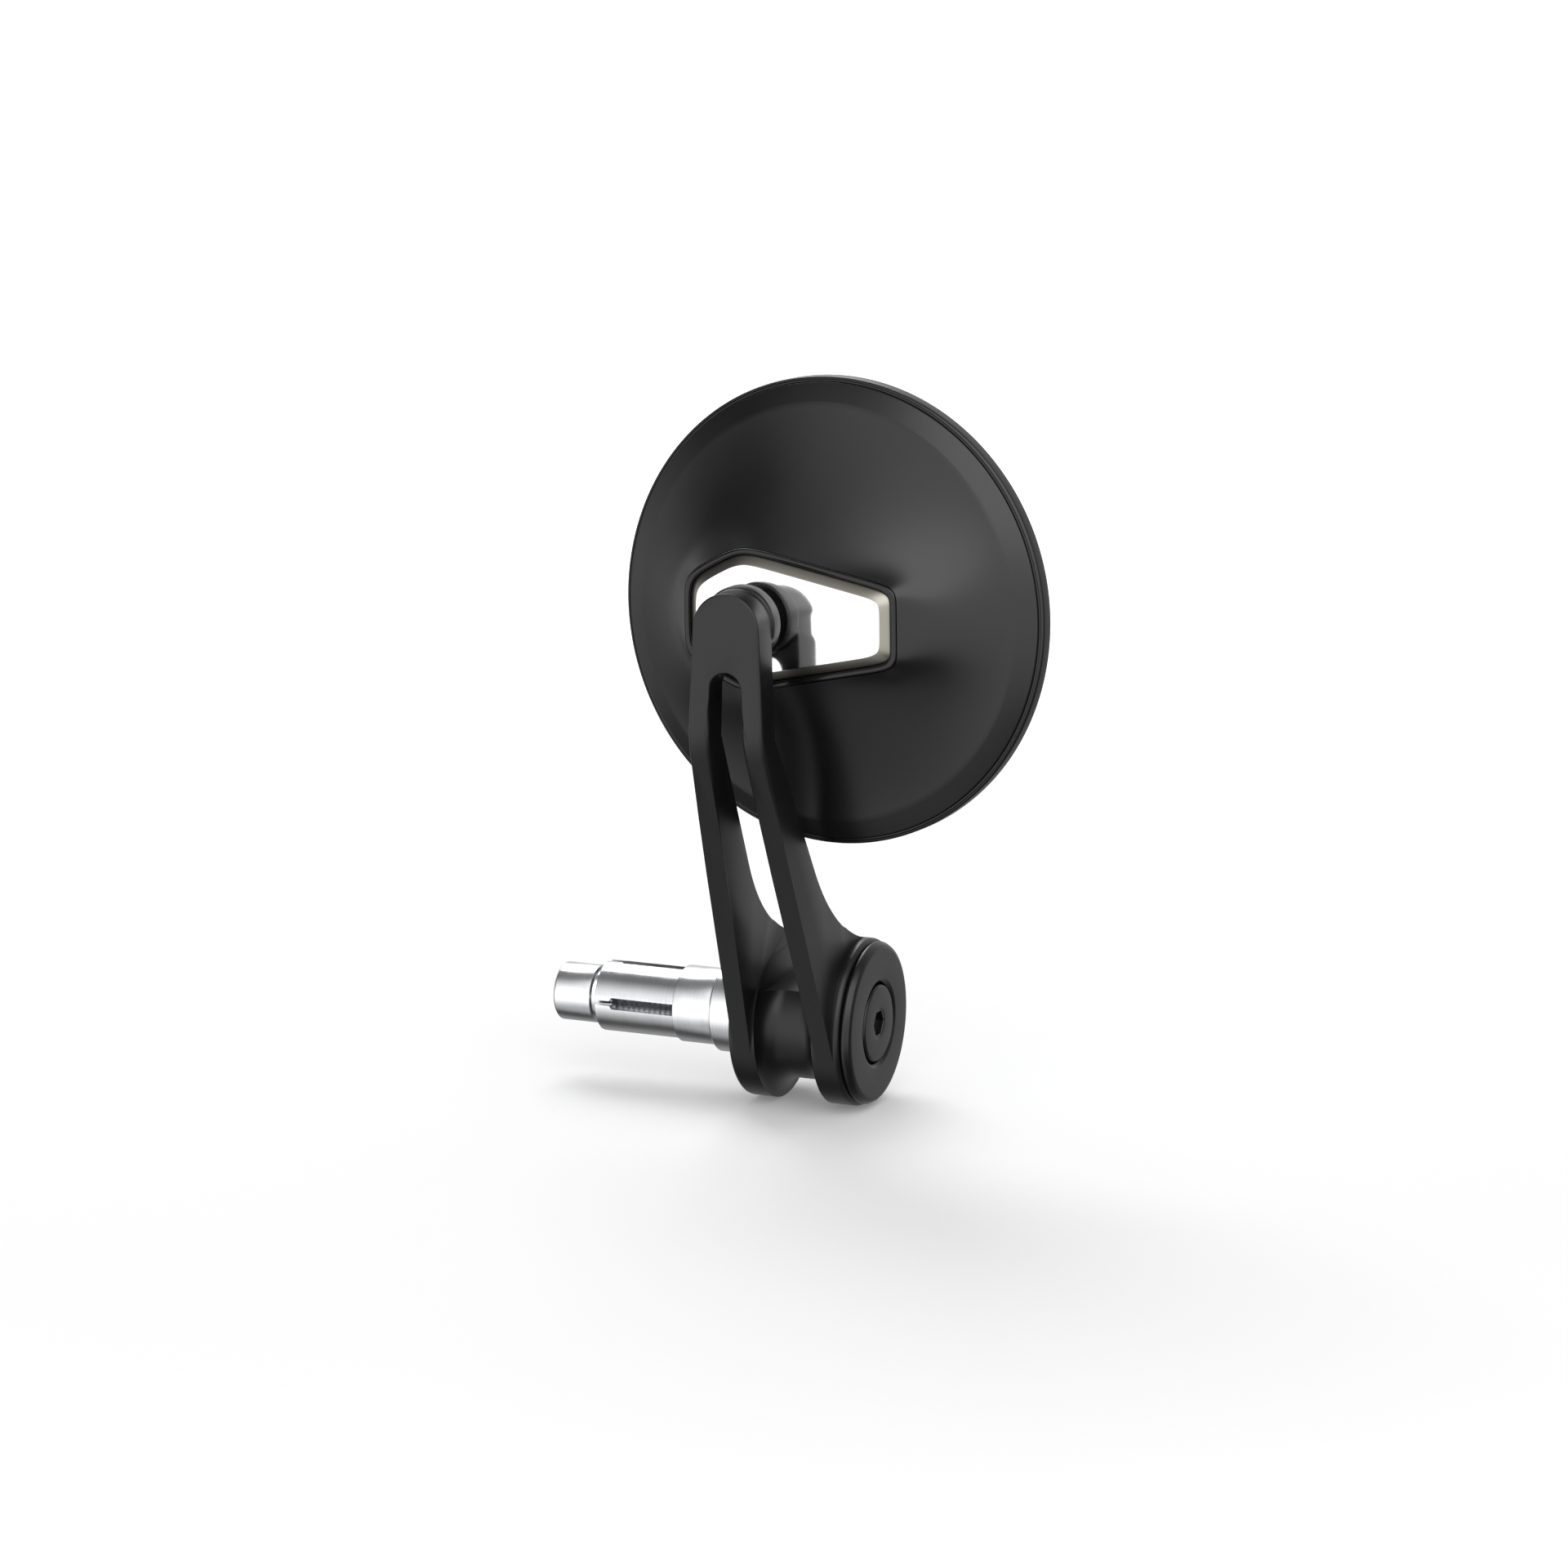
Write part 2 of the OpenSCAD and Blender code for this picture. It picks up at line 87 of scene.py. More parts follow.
def lathe_lines_group():
    """Fine rings left by turning: round the X axis on a cylinder, about its centre on a flat face."""
    group = bpy.data.node_groups.new("lathe_lines", "ShaderNodeTree")
    tree_socket(group, "Vector", "NodeSocketVector", True)
    tree_socket(group, "Lines per metre", "NodeSocketFloat", True, 6000.0)
    tree_socket(group, "Tone", "NodeSocketFloat", False)
    tree_socket(group, "Height", "NodeSocketFloat", False)
    start, end = group.nodes.new("NodeGroupInput"), group.nodes.new("NodeGroupOutput")
    parts = group.nodes.new("ShaderNodeSeparateXYZ")
    group.links.new(start.outputs["Vector"], parts.inputs[0])
    across = shader_math(group, "ADD", shader_math(group, "POWER", parts.outputs[1], 2.0),
                         shader_math(group, "POWER", parts.outputs[2], 2.0))
    place = shader_math(group, "ADD", parts.outputs[0], shader_math(group, "SQRT", across))
    lines = shader_math(group, "MULTIPLY", place, start.outputs["Lines per metre"])
    fine = group.nodes.new("ShaderNodeTexNoise")
    fine.noise_dimensions = "1D"
    fine.inputs["Scale"].default_value = 1.0
    fine.inputs["Detail"].default_value = 3.0
    group.links.new(lines, fine.inputs["W"])
    wear = group.nodes.new("ShaderNodeTexNoise")
    wear.inputs["Scale"].default_value = 260.0
    group.links.new(start.outputs["Vector"], wear.inputs["Vector"])
    tone = shader_math(group, "ADD", shader_math(group, "MULTIPLY", fine.outputs[0], 0.6),
                       shader_math(group, "MULTIPLY", wear.outputs[0], 0.4))
    group.links.new(tone, end.inputs["Tone"])
    group.links.new(fine.outputs[0], end.inputs["Height"])
    return group


def satin_grain_group():
    """The fine, even grain of a blasted or moulded surface, with faint larger patches in its tone."""
    group = bpy.data.node_groups.new("satin_grain", "ShaderNodeTree")
    tree_socket(group, "Vector", "NodeSocketVector", True)
    tree_socket(group, "Grain scale", "NodeSocketFloat", True, 9000.0)
    tree_socket(group, "Patch scale", "NodeSocketFloat", True, 90.0)
    tree_socket(group, "Tone", "NodeSocketFloat", False)
    tree_socket(group, "Height", "NodeSocketFloat", False)
    start, end = group.nodes.new("NodeGroupInput"), group.nodes.new("NodeGroupOutput")
    found = []
    for source, detail in (("Grain scale", 2.0), ("Patch scale", 4.0)):
        noise = group.nodes.new("ShaderNodeTexNoise")
        noise.inputs["Detail"].default_value = detail
        group.links.new(start.outputs["Vector"], noise.inputs["Vector"])
        group.links.new(start.outputs[source], noise.inputs["Scale"])
        found.append(noise.outputs[0])
    tone = shader_math(group, "ADD", shader_math(group, "MULTIPLY", found[0], 0.35),
                       shader_math(group, "MULTIPLY", found[1], 0.65))
    group.links.new(tone, end.inputs["Tone"])
    group.links.new(found[0], end.inputs["Height"])
    return group


LATHE_LINES = lathe_lines_group()
SATIN_GRAIN = satin_grain_group()


def make_finish(name, dark, light, rough, depth, group=SATIN_GRAIN, scale=9000.0, metallic=0.0,
                specular=0.5, centre=None, turn=None, patch=90.0):
    """A material whose colour runs from dark to light and whose roughness runs over rough, both with
    the group's tone. depth is the height of its bump in metres. centre and turn put its pattern square
    to a piece that isn't on the bar's axis."""
    material = bpy.data.materials.new(name)
    material.use_nodes = True
    tree = material.node_tree
    surface = tree.nodes["Principled BSDF"]
    surface.inputs["Metallic"].default_value = metallic
    surface.inputs["Specular IOR Level"].default_value = specular
    place = tree.nodes.new("ShaderNodeTexCoord").outputs["Object"]
    if centre is not None:
        mapping = tree.nodes.new("ShaderNodeMapping")
        mapping.vector_type = "TEXTURE"
        mapping.inputs["Location"].default_value = centre
        mapping.inputs["Rotation"].default_value = turn
        tree.links.new(place, mapping.inputs["Vector"])
        place = mapping.outputs[0]
    pattern = tree.nodes.new("ShaderNodeGroup")
    pattern.node_tree = group
    pattern.inputs[1].default_value = scale
    if group is SATIN_GRAIN:
        pattern.inputs["Patch scale"].default_value = patch
    tree.links.new(place, pattern.inputs["Vector"])
    colour = tree.nodes.new("ShaderNodeValToRGB")
    colour.color_ramp.elements[0].position, colour.color_ramp.elements[1].position = 0.3, 0.7
    colour.color_ramp.elements[0].color = (*dark, 1)
    colour.color_ramp.elements[1].color = (*light, 1)
    tree.links.new(pattern.outputs["Tone"], colour.inputs[0])
    tree.links.new(colour.outputs[0], surface.inputs["Base Color"])
    spread = tree.nodes.new("ShaderNodeMapRange")
    spread.inputs["From Min"].default_value, spread.inputs["From Max"].default_value = 0.3, 0.7
    spread.inputs["To Min"].default_value, spread.inputs["To Max"].default_value = rough
    tree.links.new(pattern.outputs["Tone"], spread.inputs["Value"])
    tree.links.new(spread.outputs[0], surface.inputs["Roughness"])
    bump = tree.nodes.new("ShaderNodeBump")
    bump.inputs["Strength"].default_value = 1.0
    bump.inputs["Distance"].default_value = depth
    tree.links.new(pattern.outputs["Height"], bump.inputs["Height"])
    tree.links.new(bump.outputs[0], surface.inputs["Normal"])
    return material


def add_piece(name, mesh, material, body, slot, *stands_for):
    """Puts a finished mesh in the scene, dressed, riding on its body and standing for its CAD nodes."""
    mesh.name = name
    mesh.materials.clear()
    mesh.materials.append(material)
    piece = bpy.data.objects.new(name, mesh)
    bpy.context.scene.collection.objects.link(piece)
    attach(piece, body)
    if stands_for:
        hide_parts(*stands_for)
    return piece


def dress(node, material):
    """Gives a CAD node that stays its material."""
    piece = nodes[node]
    if not piece.material_slots:
        piece.data.materials.append(material)
    for place in piece.material_slots:
        place.material = material


def smooth(mesh, crease=CREASE):
    mesh.shade_smooth()
    mesh.set_sharp_from_angle(angle=crease)
    return mesh


def round_corners(profile, radius, parts=3):
    """The profile with each of its inner corners, or all of them where it is closed, turned to a
    small curve."""
    closed = profile[0][0] > 0
    count = len(profile)
    made = []
    for i, corner in enumerate(profile):
        if not closed and i in (0, count - 1):
            made.append(corner)
            continue
        here = Vector(corner)
        before, after = Vector(profile[i - 1]) - here, Vector(profile[(i + 1) % count]) - here
        start = here + before.normalized() * min(radius, 0.45 * before.length)
        end = here + after.normalized() * min(radius, 0.45 * after.length)
        for k in range(parts + 1):
            t = k / parts
            made.append(tuple((1 - t) ** 2 * start + 2 * t * (1 - t) * here + t * t * end))
    return made


def lathe(profile, place, steps=144):
    """A solid turned from (radius, distance along) points in mm. A third number 6 makes that ring a
    hexagon whose flats are the radius from its centre. It runs from pole to pole, or closes on
    itself."""
    bm = bmesh.new()
    rings = []
    for radius, along, *sides in profile:
        if radius == 0:
            rings.append([bm.verts.new(place @ Vector((0, 0, along * MM)))] * steps)
            continue
        ring = []
        for i in range(steps):
            a = 2 * math.pi * i / steps
            sixth = math.pi / 3
            reach = radius / math.cos((a + sixth / 2) % sixth - sixth / 2) if sides else radius
            ring.append(bm.verts.new(place @ Vector((reach * MM * math.cos(a), reach * MM * math.sin(a),
                                                     along * MM))))
        rings.append(ring)
    closed = profile[0][0] > 0
    for k in range(len(rings) - (0 if closed else 1)):
        lower, upper = rings[k], rings[(k + 1) % len(rings)]
        for i in range(steps):
            j = (i + 1) % steps
            corners = list(dict.fromkeys((lower[i], lower[j], upper[j], upper[i])))
            if len(corners) > 2:
                bm.faces.new(corners)
    bmesh.ops.recalc_face_normals(bm, faces=bm.faces)
    mesh = bpy.data.meshes.new("turned")
    bm.to_mesh(mesh)
    bm.free()
    return smooth(mesh)


def cut_by(mesh, outline, near, far, angles):
    """The mesh with slots cut out of it. Each has the outline, as (x, y) in mm, reaches from near to
    far off the X axis, and is turned about that axis by one of the angles in degrees."""
    body = bpy.data.objects.new("body", mesh)
    cutter_bm = bmesh.new()
    for angle in angles:
        turn = Matrix.Rotation(math.radians(angle), 4, "X")
        lower, upper = ([cutter_bm.verts.new(turn @ (Vector((x, y, z)) * MM)) for x, y in outline]
                        for z in (near, far))
        cutter_bm.faces.new(lower[::-1])
        cutter_bm.faces.new(upper)
        for i, corner in enumerate(lower):
            j = (i + 1) % len(lower)
            cutter_bm.faces.new((corner, lower[j], upper[j], upper[i]))
    bmesh.ops.recalc_face_normals(cutter_bm, faces=cutter_bm.faces)
    cutter_mesh = bpy.data.meshes.new("cutter")
    cutter_bm.to_mesh(cutter_mesh)
    cutter_bm.free()
    cutter = bpy.data.objects.new("cutter", cutter_mesh)
    for thing in (body, cutter):
        bpy.context.scene.collection.objects.link(thing)
    cut = body.modifiers.new("cut", "BOOLEAN")
    cut.object, cut.operation, cut.solver = cutter, "DIFFERENCE", "EXACT"
    made = bpy.data.meshes.new_from_object(body.evaluated_get(bpy.context.evaluated_depsgraph_get()))
    for thing in (body, cutter):
        bpy.data.objects.remove(thing)
    return smooth(made)


turned_alloy = make_finish("turned_alloy", (0.66, 0.67, 0.69), (0.80, 0.805, 0.82), (0.17, 0.27),
                           0.0012 * MM, LATHE_LINES, 5200.0, metallic=1.0)
rubber = make_finish("rubber", (0.012, 0.012, 0.012), (0.022, 0.022, 0.022), (0.62, 0.8), 0.02 * MM,
                     scale=5200.0, specular=0.35)
PLUG_R, COLLET_R, SPIGOT_R, BORE_R, COLLET_BORE_R = 8.4, 7.8, 6.6, 3.05, 5.2
COLLET_MOUTH_R, COLLET_MOUTH = 6.1, -23.2
PLUG_END, COLLET_END, COLLAR_R, COLLAR_END, SPIGOT_END = -9.0, -27.8, 9.6, 7.4, 28.2
SEAL_X, SEAL_END, SEAL_R = 3.0, 4.2, 6.0
WINDOW_W, SLIT_W, WINDOW_START, WINDOW_END, RECESS = 2.6, 1.1, -23.8, -9.05, 0.6
PLUG_EDGE, COLLAR_EDGE, COLLAR_CHAMFER = 0.22, 0.18, 0.4
plug_profile = round_corners([
    (COLLET_BORE_R, COLLET_MOUTH), (COLLET_MOUTH_R, COLLET_END), (COLLET_R, COLLET_END),
    (COLLET_R, PLUG_END), (PLUG_R, PLUG_END), (PLUG_R, 0), (SPIGOT_R, 0), (SPIGOT_R, SEAL_X),
    (SEAL_R, SEAL_X), (SEAL_R, SEAL_END), (SPIGOT_R, SEAL_END), (SPIGOT_R, SPIGOT_END),
    (BORE_R, SPIGOT_END), (BORE_R, PLUG_END), (COLLET_BORE_R, PLUG_END)], PLUG_EDGE)
slot_half = [(COLLET_END - 1, SLIT_W / 2), (WINDOW_START - 0.5, SLIT_W / 2),
             (WINDOW_START, WINDOW_W / 2), (WINDOW_END, WINDOW_W / 2)]
slot_outline = slot_half + [(x, -y) for x, y in slot_half[::-1]]
collar_profile = round_corners([
    (PLUG_R, 0), (COLLAR_R - COLLAR_CHAMFER, 0), (COLLAR_R, COLLAR_CHAMFER),
    (COLLAR_R, COLLAR_END - COLLAR_CHAMFER), (COLLAR_R - COLLAR_CHAMFER, COLLAR_END),
    (SPIGOT_R, COLLAR_END), (SPIGOT_R, RECESS), (PLUG_R, RECESS)], COLLAR_EDGE)
slotted = cut_by(lathe(plug_profile, ALONG_X, 192), slot_outline, 4, 10, (0, 90, 180, 270))
add_piece("plug_body_turned", slotted, turned_alloy, "plug", "alloy", "plug_body")
add_piece("plug_collar_turned", lathe(collar_profile, ALONG_X, 192), turned_alloy, "plug", "alloy",
          "plug_collar")
dress("plug_seal", rubber)


# Expander nut and clamping screw
# The nut's cone is drawn into the collet by a long black steel screw, whose head sits flush in the
# end cap. The thread shows in the collet's windows, painted much paler than the head so that it reads
# bright in their shade.

NUT_END, NUT_FACE, NUT_R, CONE_TIP, HEAD_X, CAP_END = -38.6, -29.7, 6.4, -25.1, 34.1, 36.1
CONE_R, CONE_TIP_R = 5.4, 4.4
THREAD_START, THREAD_LENGTH, THREAD_PITCH = -37.2, 31.5, 1.25
CREST_R, ROOT_R, SHANK_R = 3.0, 2.5, 3.0
SCREW_HEAD_R, HEX_FLAT_R, HEX_DEEP = 8.4, 2.5, 1.5


def geometry_node(tree, kind, links=(), **values):
    """A node of a geometry tree with some of its inputs joined to sockets or set to values."""
    node = tree.nodes.new(kind)
    for name, value in values.items():
        node.inputs[name.replace("_", " ")].default_value = value
    for name, source in links:
        tree.links.new(source, node.inputs[name])
    return node


def thread_tree(material):
    """A ridge that winds round the X axis as a screw's thread does."""
    tree = bpy.data.node_groups.new("thread", "GeometryNodeTree")
    tree_socket(tree, "Geometry", "NodeSocketGeometry", True)
    for name in ("Start", "Length", "Pitch", "Root radius", "Depth"):
        tree_socket(tree, name, "NodeSocketFloat", True)
    tree_socket(tree, "Geometry", "NodeSocketGeometry", False)
    start, end = tree.nodes.new("NodeGroupInput"), tree.nodes.new("NodeGroupOutput")
    turns = shader_math(tree, "DIVIDE", start.outputs["Length"], start.outputs["Pitch"])
    line = geometry_node(tree, "GeometryNodeCurveSpiral", [
        ("Rotations", turns), ("Start Radius", start.outputs["Root radius"]),
        ("End Radius", start.outputs["Root radius"]), ("Height", start.outputs["Length"])],
        Resolution=40)
    upright = geometry_node(tree, "GeometryNodeSetCurveNormal", [("Curve", line.outputs[0])])
    upright.mode = "Z_UP"
    ridge = geometry_node(tree, "GeometryNodeCurvePrimitiveCircle",
                          [("Radius", start.outputs["Depth"])], Resolution=4)
    wound = geometry_node(tree, "GeometryNodeCurveToMesh", [("Curve", upright.outputs[0]),
                                                            ("Profile Curve", ridge.outputs[0])])
    wound.inputs["Fill Caps"].default_value = True
    shift = tree.nodes.new("ShaderNodeCombineXYZ")
    tree.links.new(start.outputs["Start"], shift.inputs[0])
    laid = geometry_node(tree, "GeometryNodeTransform", [("Geometry", wound.outputs[0]),
                                                         ("Translation", shift.outputs[0])])
    laid.inputs["Rotation"].default_value = (0, math.radians(90), 0)
    real = geometry_node(tree, "GeometryNodeRealizeInstances", [("Geometry", laid.outputs[0])])
    dressed = geometry_node(tree, "GeometryNodeSetMaterial", [("Geometry", real.outputs[0])])
    dressed.inputs["Material"].default_value = material
    tree.links.new(dressed.outputs[0], end.inputs["Geometry"])
    return tree


def grown(tree, **sizes):
    """The mesh that a geometry tree makes from its named sizes in mm."""
    holder = bpy.data.objects.new("grower", bpy.data.meshes.new("grower"))
    bpy.context.scene.collection.objects.link(holder)
    modifier = holder.modifiers.new("grow", "NODES")
    modifier.node_group = tree
    for socket in tree.interface.items_tree:
        name = socket.name.replace(" ", "_").lower()
        if socket.in_out == "INPUT" and name in sizes:
            modifier[socket.identifier] = sizes[name] * MM
    made = bpy.data.meshes.new_from_object(holder.evaluated_get(bpy.context.evaluated_depsgraph_get()))
    bpy.data.objects.remove(holder)
    return made


def joined(name, *meshes):
    """Several meshes of one piece put together as one mesh."""
    bm = bmesh.new()
    for mesh in meshes:
        bm.from_mesh(mesh)
    whole = bpy.data.meshes.new(name)
    bm.to_mesh(whole)
    bm.free()
    return smooth(whole)


black_steel = make_finish("black_steel", (0.0045, 0.0045, 0.0048), (0.0085, 0.0085, 0.009),
                          (0.26, 0.34), 0.0008 * MM, LATHE_LINES, 4200.0, specular=0.42)
# Painted light: the thread is coloured far paler than the black head and the other steel, so it reads
# lit in the collet's shaded windows.
thread_steel = make_finish("thread_steel", (0.62, 0.62, 0.64), (0.82, 0.82, 0.84), (0.20, 0.30),
                           0.003 * MM, LATHE_LINES, 6000.0, metallic=0.85)
steel = make_finish("bright_steel", (0.36, 0.37, 0.39), (0.55, 0.56, 0.58), (0.24, 0.36), 0.003 * MM,
                    LATHE_LINES, 6000.0, metallic=1.0)

nut_profile = round_corners([(BORE_R, NUT_END), (NUT_R - 0.5, NUT_END), (NUT_R, NUT_END + 0.5),
                             (NUT_R, NUT_FACE), (CONE_R, NUT_FACE), (CONE_TIP_R, CONE_TIP),
                             (BORE_R, CONE_TIP)], 0.2)
add_piece("cone_nut_turned", lathe(nut_profile, ALONG_X, 192), turned_alloy, "expander", "alloy",
          "cone_nut")

shank_profile = round_corners([(0, NUT_END + 1), (ROOT_R - 0.4, NUT_END + 1), (ROOT_R, NUT_END + 1.5),
                               (ROOT_R, THREAD_START + THREAD_LENGTH),
                               (SHANK_R, THREAD_START + THREAD_LENGTH + 0.8), (SHANK_R, HEAD_X + 0.2),
                               (0, HEAD_X + 0.2)], 0.08)
shank = lathe(shank_profile, ALONG_X, 72)
thread = grown(thread_tree(thread_steel), start=THREAD_START, length=THREAD_LENGTH, pitch=THREAD_PITCH,
               root_radius=ROOT_R, depth=CREST_R - ROOT_R)
head_rim = [(0, HEAD_X)]
head_rim += round_corners([(0, HEAD_X), (SCREW_HEAD_R, HEAD_X), (SCREW_HEAD_R, CAP_END - 0.35),
                           (SCREW_HEAD_R - 0.35, CAP_END), (HEX_FLAT_R + 0.9, CAP_END),
                           (HEX_FLAT_R + 0.62, CAP_END - 0.12), (0, CAP_END)], 0.16)[1:-1]
screw_head = lathe(head_rim + [(HEX_FLAT_R + 0.06, CAP_END - 0.12, 6), (HEX_FLAT_R, CAP_END - 0.2, 6),
                               (HEX_FLAT_R, CAP_END - HEX_DEEP, 6), (1.6, CAP_END - HEX_DEEP),
                               (0, CAP_END - HEX_DEEP - 0.25)], ALONG_X, 144)
add_piece("clamp_screw_thread", joined("clamp_screw_thread", shank, thread), thread_steel, "screw",
          "dark_steel")
add_piece("clamp_screw_head", screw_head, black_steel, "screw", "black_alloy", "clamp_screw")
dress("screw_washer", steel)


# Hub and arm
# One piece of aluminium, milled to a fork on a spool hub and anodised satin black. Its edges are
# broken, and the bronze bush and the friction washer that it turns on show at its inner face.

EDGE_W, FRONT_EDGE_W, EDGE_STEPS, ARM_CREASE = 0.4, 1.0, 3, math.radians(40)
EDGES_ABOVE, FRONT_BELOW, SHORTEST, FRONT_SHORTEST = 22, 80, 0.4, 0.12


def softened_arm():
    """A merged copy of the arm whose sharp edges above the hub are broken by a small radius, as a
    deburred part has. Round the legs' front faces, below the eye, the radius is wider."""
    bm = bmesh.new()
    bm.from_mesh(nodes["arm"].data)
    bmesh.ops.remove_doubles(bm, verts=bm.verts, dist=0.002 * MM)
    bmesh.ops.dissolve_limit(bm, angle_limit=math.radians(0.4), verts=bm.verts, edges=bm.edges)
    weight = bm.edges.layers.float.new("bevel_weight_edge")
    for edge in bm.edges:
        heights = [corner.co.z / MM for corner in edge.verts]
        if len(edge.link_faces) != 2 or edge.calc_face_angle(0) <= CREASE or min(heights) <= EDGES_ABOVE:
            continue
        facing = sorted(face.normal.y for face in edge.link_faces)
        front = facing[0] < -0.7 and abs(facing[1]) < 0.3 and max(heights) < FRONT_BELOW
        if edge.calc_length() > (FRONT_SHORTEST if front else SHORTEST) * MM:
            edge[weight] = 1.0 if front else EDGE_W / FRONT_EDGE_W
    mesh = bpy.data.meshes.new("arm_soft")
    bm.to_mesh(mesh)
    bm.free()
    for spare in [a.name for a in mesh.attributes if a.name == "custom_normal"]:
        mesh.attributes.remove(mesh.attributes[spare])
    holder = bpy.data.objects.new("arm_holder", mesh)
    bpy.context.scene.collection.objects.link(holder)
    edges = holder.modifiers.new("edges", "BEVEL")
    edges.width, edges.segments, edges.limit_method = FRONT_EDGE_W * MM, EDGE_STEPS, "WEIGHT"
    edges.use_clamp_overlap = False
    made = bpy.data.meshes.new_from_object(holder.evaluated_get(bpy.context.evaluated_depsgraph_get()))
    bpy.data.objects.remove(holder)
    return smooth(made, ARM_CREASE)


anodised = make_finish("black_anodised", (0.0045, 0.0045, 0.0047), (0.0078, 0.0078, 0.0081),
                       (0.30, 0.38), 0.002 * MM, scale=7000.0, specular=0.42, patch=60.0)
bush_metal = make_finish("bush_metal", (0.34, 0.26, 0.15), (0.52, 0.41, 0.24), (0.30, 0.42), 0.003 * MM,
                         LATHE_LINES, 5200.0, metallic=1.0)
add_piece("arm_milled", softened_arm(), anodised, "arm", "black_alloy", "arm")
dress("hub_bush", bush_metal)
dress("friction_washer", rubber)


# End cap
# A turned black cap, pressed over a rubber ring in the hub's outer face. A step and a shallow groove
# run round its rim, and the screw's head fills its middle.

CAP_X, CAP_R, CAP_FACE_R, CAP_HOLE_R = 33.9, 17.6, 16.5, 8.75
cap_profile = round_corners([(CAP_HOLE_R, CAP_X), (CAP_R - 0.4, CAP_X), (CAP_R, CAP_X + 0.4),
                             (CAP_R, CAP_X + 0.9), (CAP_FACE_R + 0.45, CAP_END - 0.28),
                             (CAP_FACE_R - 0.3, CAP_END), (CAP_HOLE_R + 0.9, CAP_END),
                             (CAP_HOLE_R + 0.3, CAP_END - 0.45), (CAP_HOLE_R, CAP_END - 0.9)], 0.25, 4)
cap_black = make_finish("cap_black", (0.0045, 0.0045, 0.0047), (0.0078, 0.0078, 0.0081), (0.26, 0.34),
                        0.0008 * MM, LATHE_LINES, 5200.0, specular=0.42)
add_piece("end_cap_turned", lathe(cap_profile, ALONG_X, 192), cap_black, "arm", "black_alloy", "end_cap")
dress("cap_seal", rubber)


# Ball joint
# A steel ball with its stud runs in a pale plastic cup inside the arm's boss. A wave spring presses on
# the cup and a blackened steel ring keeps it in.

BALL = Vector((21.0, -43.4, 92.0)) * MM
HEAD_TURN, HEAD_ROLL, HEAD_SHIFT = math.radians(6.1), math.radians(1.4), 8.7
ON_STUD = (Matrix.Translation(BALL) @ Matrix.Rotation(-HEAD_ROLL, 4, "Y")
           @ Matrix.Rotation(-HEAD_TURN, 4, "Z"))
ON_HEAD = ON_STUD @ Matrix.Translation((HEAD_SHIFT * MM, 0, 0))
ALONG_Y = Matrix.Rotation(math.radians(-90), 4, "X")
HEAD_ANGLES = (0, 0, math.radians(90) - HEAD_TURN)
BALL_R, NECK_R, STUD_BASE_R, STUD_BASE = 4.2, 2.0, 4.0, 5.7
PLATE_Y, STUD_R, STUD_END = 6.7, 2.5, 13.7

polymer = make_finish("cup_plastic", (0.52, 0.50, 0.44), (0.64, 0.62, 0.55), (0.42, 0.55), 0.01 * MM,
                      scale=3600.0)
stud_steel = make_finish("stud_steel", (0.30, 0.31, 0.33), (0.48, 0.49, 0.51), (0.18, 0.30), 0.003 * MM,
                         LATHE_LINES, 6000.0, metallic=1.0, centre=BALL, turn=HEAD_ANGLES)
dress("ball_cup", polymer)
dress("cup_spring", steel)
dress("ball_retainer", black_steel)

NECK_START, BALL_ROOM = 3.75, 0.05
globe = [(0, -BALL_R), *((BALL_R * math.sin(math.radians(a)), -BALL_R * math.cos(math.radians(a)))
                         for a in range(6, 180, 6)), (0, BALL_R)]
hollow_r = BALL_R + BALL_ROOM
hollow = [(hollow_r * math.sin(math.radians(a)), hollow_r * math.cos(math.radians(a)))
          for a in (0, 7, 14, 21)]
stem = round_corners([(0, 4), (NECK_R, NECK_START), (NECK_R, STUD_BASE), (STUD_BASE_R, STUD_BASE),
                      (STUD_BASE_R, PLATE_Y), (STUD_R, PLATE_Y), (STUD_R, STUD_END - 0.4),
                      (STUD_R - 0.4, STUD_END), (0, STUD_END)], 0.25, 4)[5:]
stem = hollow + [(NECK_R, NECK_START), *stem]
add_piece("joint_ball_turned", lathe(globe, ON_STUD @ ALONG_Y, 96), stud_steel, "ball", "dark_steel",
          "joint_ball")
add_piece("ball_stud_turned", lathe(stem, ON_STUD @ ALONG_Y, 96), stud_steel, "stud", "dark_steel",
          "ball_stud")


# Back plate and its frame
# A six-sided aluminium plate, bevelled all round and polished to a mirror, sits in a thin gloss black
# frame on the shell. Three screws from inside hold it, and the stud's nut clamps it.

polished = make_finish("mirror_polish", (0.90, 0.90, 0.90), (0.94, 0.94, 0.935), (0.07, 0.11),
                       0.0004 * MM, scale=2600.0, metallic=1.0, patch=160.0)
frame_black = make_finish("frame_black", (0.003, 0.003, 0.003), (0.006, 0.006, 0.006), (0.12, 0.18),
                          0.001 * MM, scale=6000.0, specular=0.4)
inner_plastic = make_finish("inner_plastic", (0.045, 0.045, 0.05), (0.07, 0.07, 0.075), (0.45, 0.6),
                            0.01 * MM, scale=3600.0)
HEX_CORNERS = [(-24.3, 7.9), (-24.3, -7.9), (-12.0, -14.0), (22.2, -7.2), (22.2, 7.2), (-12.0, 14.0)]
CORNER_POWER, SHELL_SIDES = 14, 288
PLATE_T, BEVEL_W, BEVEL_D, FRAME_W, FRAME_FRONT, FRAME_BACK = 2.4, 2.0, 1.4, 1.4, 7.6, 11.1


